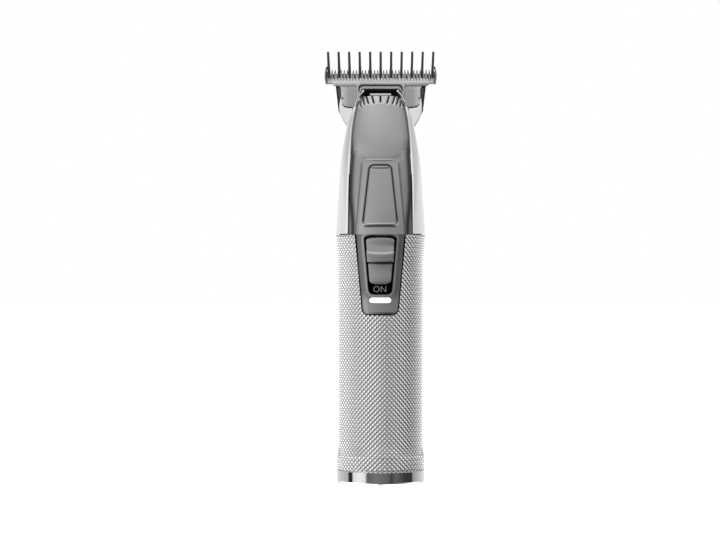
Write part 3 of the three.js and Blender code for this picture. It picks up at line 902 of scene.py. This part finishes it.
# ------------------------------------------------------------------ switch
KNOB_ENDS = (73.3, 90.6)
knob_face = through(
    [
        (KNOB_ENDS[0], 15.2),
        (73.9, 15.72),
        (80.5, 15.85),
        (81.1, 16.85),
        (82.4, 17.0),
        (84.1, 16.95),
        (84.9, 16.45),
        (87, 16.02),
        (90, 16),
        (KNOB_ENDS[1], 15.5),
    ]
)


def make_switch():
    low, high = KNOB_ENDS

    def put(u, v):
        z = mix(low, high, v)
        plain = tapered(z, (low, high), (4.1, 5.55))
        x = (2 * u - 1) * cornered(plain, z, (low, high), 2.2)
        bow = 0.02 * x * x
        ridge = smooth(79.5, 80.5, z) * (1 - smooth(86, 89, z))
        reach = knob_face(z - bow * ridge)
        edge = plain - abs(x)
        reach -= 0.35 * (1 - smooth(0, 0.5, edge)) ** 2
        arched = z - 0.018 * x * x * smooth(0.6, 1, v)
        return Vector((x, -math.sqrt(reach**2 - x * x), arched))

    def back(co):
        return Vector((co.x, -13.9, co.z))

    face = thickened(sheet(60, 170, put), back)

    # Painted shade: a black line under the ridge and dark fine lines across the band above it.
    def knob_shade(co):
        bow = co.z - 0.02 * co.x**2
        under_ridge = bump(co.z - 80.95, 0.46)
        ribbed = 0.45 * (0.5 + 0.5 * math.cos(math.tau * bow / 0.72)) * smooth(81.3, 81.7, bow)
        return max(under_ridge, ribbed * (1 - smooth(83.7, 84.0, bow)), 0.1)

    toned(face, knob_shade)
    piece("thumb_switch", face, "dark_chrome", "switch", "switch_knob", crease=38)
    flange = brick((-6.3, -14.1, 74.5), (6.3, -13.75, 91), 0.08)
    prongs = [brick((-2, -14, a), (2, -12.3, b), 0.1) for a, b in ((77.2, 78.9), (80.9, 82.2))]
    bm = joined(flange, *prongs)
    piece("switch_flange", bm, "black_plastic", "switch", "switch_knob")


def make_label():
    low, high = label_low, label_high

    def put(u, v):
        x = mix(low.x, high.x, u)
        return Vector((x, -math.sqrt(13.5**2 - x * x), mix(low.z, high.z, v)))

    plate = thickened(sheet(30, 20, put), lambda co: Vector((co.x, co.y + 0.7, co.z)))
    plate = carved(plate, brick((-2.4, -30, 73.2), (2.4, 0, 82.6)))
    piece("switch_label", plate, "black_plastic", "housing", "label_plate")
    word = bpy.data.curves.new("on_mark", "FONT")
    word.body = "ON"
    word.size, word.extrude = 3.15, 0.1
    word.align_x, word.align_y = "CENTER", "CENTER"
    word.space_character = 1.05
    bm = closed(from_curve(linked("on_mark", word)), 1e-3)
    upright = Matrix.Rotation(math.pi / 2, 4, "X")
    transformed(bm, Matrix.Translation((-0.15, -13.55, 71.3)) @ upright)
    piece("on_mark", bm, "grey_plastic", "housing", finish="letter_grey")


def make_lens():
    low, high = lens_low, lens_high
    foot, top = LAMP_ENDS[0] + 0.08, LAMP_ENDS[1] - 0.08

    def put(u, v):
        z = mix(foot, top, v)
        half = cornered(high.x, z, (foot, top), 1.05)
        x = (2 * u - 1) * half
        edge = min(half - abs(x), z - foot, top - z)
        crown = 0.25 * smooth(0, 0.7, edge)
        return Vector((x, -math.sqrt((-low.y - 0.1) ** 2 - x * x) - crown, z))

    bm = thickened(sheet(60, 70, put), lambda co: Vector((co.x, high.y, co.z)))
    piece("indicator_window", bm, "white_lens", "housing", "indicator_lens", crease=38)


# ------------------------------------------------------------------ blades and drive
def tooth(x, shoulder, tip, y_face, y_back, widths, ridge, lean):
    """One cutting tooth, ridged along its face. Above its shoulder it narrows and leans."""
    (root, point), foot = widths, TOOTH_ROOT - 0.6
    side_y = y_face + ridge
    section = [(-root, y_back), (-root, side_y), (0, y_face), (root, side_y), (root, y_back)]
    bm = slab([(x + dx, y, foot) for dx, y in section], (0, 0, tip - foot))
    split_at(bm, Z, shoulder)
    for v in bm.verts:
        if v.co.z > tip - 0.01:
            v.co.x = x + (v.co.x - x) * point / root
            near_face = v.co.y < (y_face + y_back) / 2
            if near_face == (lean > 0):
                v.co.y += lean
    return bm


def make_fixed_blade():
    front, back, bottom = fixed_low.y, fixed_high.y, fixed_low.z
    body, bar, bar_z = 14.6, fixed_high.x, 147.5
    right = [
        (body - 3.2, bottom),
        (body - 1.2, bottom + 0.35),
        (body - 0.35, bottom + 1.2),
        (body, bottom + 3.2),
        (body, bar_z - 2.6),
        (body + 0.3, bar_z - 1.5),
        (body + 1.0, bar_z - 0.6),
        (body + 2.1, bar_z - 0.1),
        (body + 3.0, bar_z),
        (bar - 0.9, bar_z),
        (bar - 0.25, bar_z + 0.25),
        (bar, bar_z + 0.9),
        (bar, TOOTH_ROOT),
    ]
    plate = bevelled(front_slab(mirrored_outline(right), front, back), 0.12, 2, 50)
    teeth = [
        tooth(i * PITCH, 150.4, fixed_high.z, front, back, (0.47, 0.12), 0.1, 0.5)
        for i in range(-17, 18)
    ]
    ends = []
    for side in (-1, 1):
        inner, outer = 19.4 * side, bar * side
        foot = TOOTH_ROOT - 0.5
        tip = [(inner, foot), (outer, foot), (outer, 151.4), (inner + 0.15 * side, 152.2)]
        ends.append(bevelled(front_slab(tip, front, back), 0.1))

    # Painted shade and painted reflection: the teeth darken towards their tips, the plate is darker
    # in its middle and paler towards its sides, with two dark round spots near its upper sides.
    def blade_shade(co):
        if co.z > TOOTH_ROOT - 0.2:
            return mix(0.0, 0.62, smooth(149.0, 151.8, co.z))
        rim = smooth(0.1, 3.2, body - abs(co.x)) * smooth(bar_z + 0.5, bar_z - 3.0, co.z)
        pin = 1.5 * bump(math.hypot(abs(co.x) - 14.15, co.z - 141.9), 0.34)
        return max(0.04 + 0.36 * rim, pin)

    plate = finely_cut(plate, 0.25)
    bm = toned(joined(plate, *teeth, *ends), blade_shade)
    # Painted shadow: a thin dark strip behind the lower blade shows just below its edge, standing
    # for the shadow line under it.
    shadow_strip = [(x, z - 0.42 * (1 - smooth(141, 145, z))) for x, z in right if z < 146]
    shadow_strip = front_slab(mirrored_outline(shadow_strip), back + 0.02, back + 0.26)
    piece("blade_shadow_strip", shadow_strip, "black_plastic", "housing", "fixed_blade", finish="seal_rubber")
    piece("lower_blade", bm, "blade_steel", "housing", "fixed_blade", crease=25)


def make_moving_blade():
    front, back, half = moving_low.y + 1, moving_high.y, moving_high.x
    bottom, bar_z, bridge = moving_low.z, 146.4, 8.7
    right = [
        (bridge, bottom),
        (bridge, bar_z - 1.3),
        (bridge + 0.3, bar_z - 0.4),
        (bridge + 1.3, bar_z),
        (half - 0.6, bar_z),
        (half, bar_z + 0.6),
        (half, TOOTH_ROOT),
    ]
    plate = bevelled(front_slab(mirrored_outline(right), front, back), 0.1, 2, 50)
    teeth = [
        tooth((i + 0.5) * PITCH, 149.9, moving_high.z, front, back, (0.4, 0.2), 0.2, -0.4)
        for i in range(-16, 16)
    ]

    def arch(half_width, top, foot):
        corner = 1.2
        return [
            (half_width, foot),
            (half_width, top - corner),
            (half_width - 0.35 * corner, top - 0.35 * corner),
            (half_width - corner, top),
        ]

    outer = arch(bridge, TOOTH_ROOT - 0.3, bottom)
    raised = front_slab(mirrored_outline(outer), moving_low.y, front + 0.2)
    opening = front_slab(mirrored_outline(arch(7.4, 145.05, bottom - 1)), -2, front)
    groove = front_slab(mirrored_outline(arch(8.2, 146.75, 144.2)), -2, moving_low.y + 0.35)
    ledge = front_slab(mirrored_outline(arch(7.8, 146.2, 140)), -3, moving_low.y + 1)
    groove = carved(groove, ledge)
    raised = bevelled(carved(raised, opening, groove), 0.12, 2, 50)

    # Painted shade: the groove round the raised bridge is black; the bridge's front round the
    # opening and the bar just below the teeth are made darker.
    def groove_shade(co):
        in_line = moving_low.y + 0.2 < co.y < moving_low.y + 0.45
        if in_line and abs(co.x) < 8.3 and 144.1 < co.z < 146.9:
            return 0.95
        if abs(co.x) < 8.1 and co.z < 146.6 and co.y < moving_low.y + 0.3:
            return 0.45
        return 0.18 * (1 - smooth(147.8, 148.4, co.z))

    bm = toned(joined(plate, raised, *teeth), groove_shade)
    piece("upper_blade", bm, "blade_steel", "cutter", "moving_blade", crease=25)


def make_yoke():
    fork = brick((-4.6, -5.2, 128.3), (4.6, 1.2, 131.7), 0.3)
    fork = carved(fork, brick((-2.9, -4, 120), (2.9, 0, 140)))
    neck = brick((-3, -1.2, 131.5), (3, 1.2, 143), 0.1)
    y = yoke_low.y
    block = brick((-7.2, y + 2.8, 142.7), (7.2, 1.3, yoke_high.z), 0.25, 3)
    window = brick((-3.9, -9, 143.1), (3.9, y + 3.1, 143.7))
    pads = [brick((x - 0.9, y + 2.7, 143), (x + 0.9, 0, 144.6), 0.2) for x in (-5.4, 5.4)]
    bar = brick((-3.85, y + 2.55, 142.62), (3.85, y + 2.9, 143.4), 0.08)
    piece("drive_bar", bar, "nickel", "cutter", "drive_yoke")
    bm = joined(fork, neck, carved(block, window), *pads)
    piece("drive_fork", bm, "black_plastic", "cutter", "drive_yoke")


def make_springs():
    for name, s in (("left", -1), ("right", 1)):
        node = f"spring_wire_{name}"
        route = [(s * 8.95, -2.3, 139.4), (s * 9.0, -2.9, 139.6), (s * 8.6, -3.0, 141)]
        route += [(s * 7.7, -3.0, 142.6), (s * 6.9, -2.95, 143.5), (s * 6.4, -2.9, 144.1)]
        bm = tube(route, 0.36, 0.55)
        piece(f"spring_{name}", bm, "nickel", "housing", node)


TO_THE_BACK = Matrix.Rotation(-math.pi / 2, 4, "X")  # turns a screw's axis from up to backwards


def make_carrier():
    low, high = carrier_low, carrier_high

    def put(u, v):
        z = mix(low.z, high.z, v)
        half = cornered(carrier_half(z), z, (low.z, high.z), 1.2)
        return Vector(((2 * u - 1) * half, low.y, z))

    plate = thickened(sheet(40, 60, put), lambda co: Vector((co.x, high.y, co.z)))
    bevelled(plate, 0.25, 3, 50)
    seats = [turned([(0, -2), (1.2, -2), (1.2, 3), (2, 3.8), (2, 9), (0, 9)], 32) for _ in range(4)]
    spots = [(-8, 126), (8, 126), (-5, 141.6), (5, 141.6)]
    for seat, (x, z) in zip(seats, spots):
        transformed(seat, Matrix.Translation((x, high.y - 4.2, z)) @ TO_THE_BACK)
    notch = brick((-3, high.y - 0.4, 125), (3, 12, 126.3))
    bm = carved(plate, notch, *seats)
    piece("head_plate", bm, "bright_chrome", "housing", "blade_carrier")


def make_screws():
    """Countersunk cross-head screws in the back of the head plate."""
    kinds = ("carrier_screw", "blade_screw")
    for node in (f"{kind}_{side}" for kind in kinds for side in ("left", "right")):
        low, high = span(node)
        length = high.y - low.y
        profile = [(0, 0), (0.95, 0), (0.95, length - 1.1), (1.8, length - 0.25)]
        profile += [(1.7, length - 0.02), (0, length)]
        cross = [
            brick((-x, -y, length - 0.7), (x, y, length + 1)) for x, y in ((1.1, 0.22), (0.22, 1.1))
        ]
        screw = carved(turned(profile, 40), *cross)
        foot = Vector(((low.x + high.x) / 2, low.y, (low.z + high.z) / 2))
        transformed(screw, Matrix.Translation(foot) @ TO_THE_BACK)
        piece(node.replace("screw", "fixing"), screw, "nickel", "housing", node)


# ------------------------------------------------------------------ guide comb
RIB_COUNT, RIB_PITCH, RIB_HALF = 11, 3.82, 0.45


def make_comb():
    front, back, half, tip = 7.3, 8.9, comb_high.x, comb_high.z
    bottom, tab_bottom, side = 127.6, comb_low.z, 16.8
    right = [(2.7, tab_bottom), (2.7, 130.4), (3.9, 130.4), (3.9, bottom), (9.6, bottom)]
    right += [(10.9, bottom + 0.7), (12.2, bottom + 3.2), (14.0, bottom + 6.2)]
    right += [(15.7, bottom + 9.9), (side, bottom + 19.4), (side, 149)]
    shield = bevelled(front_slab(mirrored_outline(right), front, back), 0.18, 2, 40)
    bar = brick((0.45 - half, 4.4, 147.5), (half - 0.45, back, 150.8), 0.25, 3)

    def rib_outline(foot):
        return [
            (back, foot),
            (back + 0.45, 147.8),
            (back, 151),
            (6.8, 155.4),
            (3.4, tip - 0.25),
            (2.9, tip),
            (2.3, tip - 0.2),
            (0.6, 154.6),
            (-0.2, 151.4),
            (0, 149.2),
            (0.9, 149.2),
            (0.9, 152.9),
            (4.5, 153.1),
            (4.5, 149.8),
            (front + 0.2, 149.8),
            (front + 0.2, foot),
        ]

    ribs = []
    for i in range(RIB_COUNT):
        x = (i - RIB_COUNT // 2) * RIB_PITCH
        foot = 147.6 if abs(x) > side else 143.6
        rib = side_slab(rib_outline(foot), x - RIB_HALF, x + RIB_HALF)
        split_at(rib, Z, 152.4)
        for v in rib.verts:
            rise = clamp((v.co.z - 151) / (tip - 151))
            thick = mix(1.3, 0.95, smooth(151.2, 153, v.co.z)) if v.co.z > 149.5 else 1
            v.co.x = x * (1 + 0.02 * rise) + (v.co.x - x) * thick
        ribs.append(bevelled(rib, 0.16, 3, 25))

    def ear(side_of):
        outline = [(back, 147.4), (back, 152), (5.5, 153.5), (1.2, 153.5), (-0.2, 151.8)]
        outline += [(-0.2, 149.4), (0.6, 148.4), (4.4, 147.4)]
        shape = side_slab(outline, -0.45, 0)
        for i in range(8):
            split_at(shape, Z, 147.1 + 0.8 * i)
        for v in shape.verts:
            bow = math.sin(math.pi * clamp((v.co.z - 146.2) / 7.5)) ** 0.6
            v.co.x = side_of * (half - 0.7 * (1 - bow) + v.co.x)
        return bevelled(closed(shape), 0.1, 2, 40)

    hook = brick((-2.5, front - 0.25, 125.3), (2.5, front + 0.1, 126), 0.08)

    # Painted highlights and painted light: the black plastic is paler on the shield's front, in a
    # band along each ear, and across the whole front of the bar.
    def shield_sheen(co):
        inside = mix(9.6, side, smooth(bottom, bottom + 19.4, co.z)) - abs(co.x)
        return 0.3 * smooth(0.2, 1.0, inside) if co.y < 7.6 and co.z < 146.2 else 0

    def ear_sheen(co):
        ends = smooth(147.2, 148.2, co.z) * (1 - smooth(151.8, 153.2, co.z))
        return 0.95 * ends * smooth(0.1, 0.3, half - 0.02 - abs(co.x)) * (1 - smooth(6, 8, co.y))

    def bar_painted_light(co):
        return 1.0 if co.y < 4.6 else 0

    shield = toned(finely_cut(shield, 0.5), shield_sheen)
    ears = [toned(ear(s), ear_sheen) for s in (-1, 1)]
    bm = joined(shield, toned(bar, bar_painted_light), hook, *ribs, *ears)
    piece("long_comb", bm, "comb_plastic", "comb", "guide_comb")


# ------------------------------------------------------------------ inner pieces
def finish_inner_nodes():
    """CAD nodes that stay as they are get their finish from their slot."""
    slots = {s["node"]: s["material_slot"] for s in frame["record"]["subparts"]}
    for name, node in frame["nodes"].items():
        if node.hide_render:
            continue
        node.data.materials.clear()
        node.data.materials.append(FINISH[slots[name]])


# ------------------------------------------------------------------ room, light and camera
def make_floor():
    bm = bmesh.new()
    bmesh.ops.create_circle(bm, cap_ends=True, segments=64, radius=6)
    mesh = mesh_of(bm, "floor")
    floor = linked("floor", mesh)
    paint = Paint("floor_paint", Roughness=0.9, Specular_IOR_Level=0.0, Emission_Strength=0.42)
    paint.set(Base_Color=(0.9, 0.9, 0.9, 1), Emission_Color=(1, 1, 1, 1))
    mesh.materials.append(paint.material)
    floor.visible_glossy = False  # the polished cap mirrors the studio, not the floor


# How bright the studio is in each direction, by angle round the trimmer, at five heights.
NEAR_THE_BASE = [
    (-180, 0.95), (-130, 0.62), (-96, 0.45), (-92, 0.02), (-81, 0.02), (-76, 0.8), (-56, 0.95),
    (-42, 0.85), (-35, 0.12), (-10, 0.18), (22, 0.11), (26, 0.06), (33, 0.06), (38, 0.12),
    (55, 0.08), (68, 0.04), (90, 0.03), (97, 0.34), (115, 0.5), (140, 0.7), (180, 0.95),
]
LEVEL = [
    (-180, 0.62), (-165, 0.88), (-125, 0.76), (-106, 0.72), (-95, 1.0), (-85, 1.3), (-50, 1.5),
    (-25, 0.95), (0, 0.72), (25, 0.58), (45, 0.48), (80, 0.44), (95, 0.46), (106, 0.54),
    (125, 0.66), (165, 0.88), (180, 0.62),
]
ABOVE = [
    (-180, 0.55), (-160, 0.72), (-125, 0.62), (-106, 0.56), (-95, 0.62), (-80, 0.85),
    (-45, 0.95), (-25, 0.92), (0, 0.9), (20, 0.9), (45, 0.86), (80, 0.72), (106, 0.56),
    (130, 0.62), (160, 0.72), (180, 0.55),
]
HIGH = [
    (-180, 0.6), (-150, 0.85), (-128, 1.45), (-100, 1.1), (-75, 0.78), (-45, 0.7), (0, 0.72),
    (45, 0.82), (80, 0.85), (105, 1.3), (150, 0.9), (180, 0.6),
]
BELOW = [
    (-180, 0.5), (-155, 0.9), (-130, 1.7), (-110, 1.75), (-85, 1.75), (-62, 1.5), (-45, 0.9),
    (-25, 0.3), (0, 0.12), (20, 0.06), (45, 0.08), (70, 0.35), (90, 1.0), (120, 1.7), (155, 0.9),
    (180, 0.5),
]


def make_world():
    """A soft grey studio: white behind, flags at both sides, and a bright ceiling."""
    world = bpy.data.worlds.new("studio")
    bpy.context.scene.world = world
    world.use_nodes = True
    paint = Paint.__new__(Paint)
    paint.tree = world.node_tree
    direction = paint.node("ShaderNodeTexCoord", {}, output="Generated")
    split = paint.tree.nodes.new("ShaderNodeSeparateXYZ")
    paint.feed(split.inputs[0], direction)
    x, y, height = (Value(paint, s) for s in split.outputs)
    turn = paint.node("ShaderNodeMath", {"operation": "ARCTAN2"}, x, y * -1) / math.tau + 0.5

    def wall(stops):
        ramp = [(degrees / 360 + 0.5, shade) for degrees, shade in stops]
        return paint.node("ShaderNodeValToRGB", {"stops": ramp}, turn)

    def rise(low, high):
        smoothed = {"interpolation_type": "SMOOTHSTEP"}
        return paint.node("ShaderNodeMapRange", smoothed, height, low, high, 0.0, 1.0)

    near_base = rise(-0.13, -0.11) * (1 - rise(-0.05, -0.035))
    facing = rise(0.035, 0.045) * (1 - rise(0.09, 0.12))
    seen = paint.shade(near_base, wall(LEVEL), wall(NEAR_THE_BASE))
    seen = paint.shade(rise(0.07, 0.25), seen, wall(ABOVE))
    seen = paint.shade(1 - rise(-0.35, -0.16), seen, wall(BELOW))
    seen = paint.shade(facing * 0.3, seen, (1, 1, 1))
    seen = paint.shade(rise(0.4, 0.6), seen, wall(HIGH))
    seen = paint.shade(rise(0.82, 0.93), seen, (1.25, 1.25, 1.25))
    camera_ray = paint.node("ShaderNodeLightPath", {}, output="Is Camera Ray")
    seen = paint.shade(camera_ray, seen, (1, 1, 1))
    paint.feed(paint.tree.nodes["Background"].inputs["Color"], seen)


def area_light(name, place, aim, size, power):
    data = bpy.data.lights.new(name, "AREA")
    data.shape, data.size, data.energy = "SQUARE", size, power
    light = linked(name, data)
    light.location = place
    light.rotation_euler = (Vector(aim) - Vector(place)).to_track_quat("-Z", "Y").to_euler()


def make_lights():
    area_light("overhead", (-0.2, -0.1, 1.3), (0, 0, 0.05), 1.1, 4)
    area_light("back_softbox", (0.1, 1.2, 0.7), (0, 0, 0.08), 1.0, 1)


CAMERA_TURN = math.radians(0.9)  # how far it stands to the right of straight on
CAMERA_PLACE = Vector((-0.0076, -1.1, 0.0784))  # before that turn


def make_camera():
    data = bpy.data.cameras.new("camera")
    data.lens, data.sensor_width = 149.1, 36
    camera = linked("camera", data)
    camera.location = Matrix.Rotation(CAMERA_TURN, 4, "Z") @ CAMERA_PLACE
    camera.rotation_euler = (math.pi / 2, 0, CAMERA_TURN)
    bpy.context.scene.camera = camera


make_camera()
make_world()
make_lights()
make_floor()
make_sleeve()
make_cap()
make_cover()
make_casing()
make_switch()
make_label()
make_lens()
make_fixed_blade()
make_moving_blade()
make_yoke()
make_springs()
make_carrier()
make_screws()
make_comb()
finish_inner_nodes()
bpy.context.scene.view_settings.view_transform = "Standard"
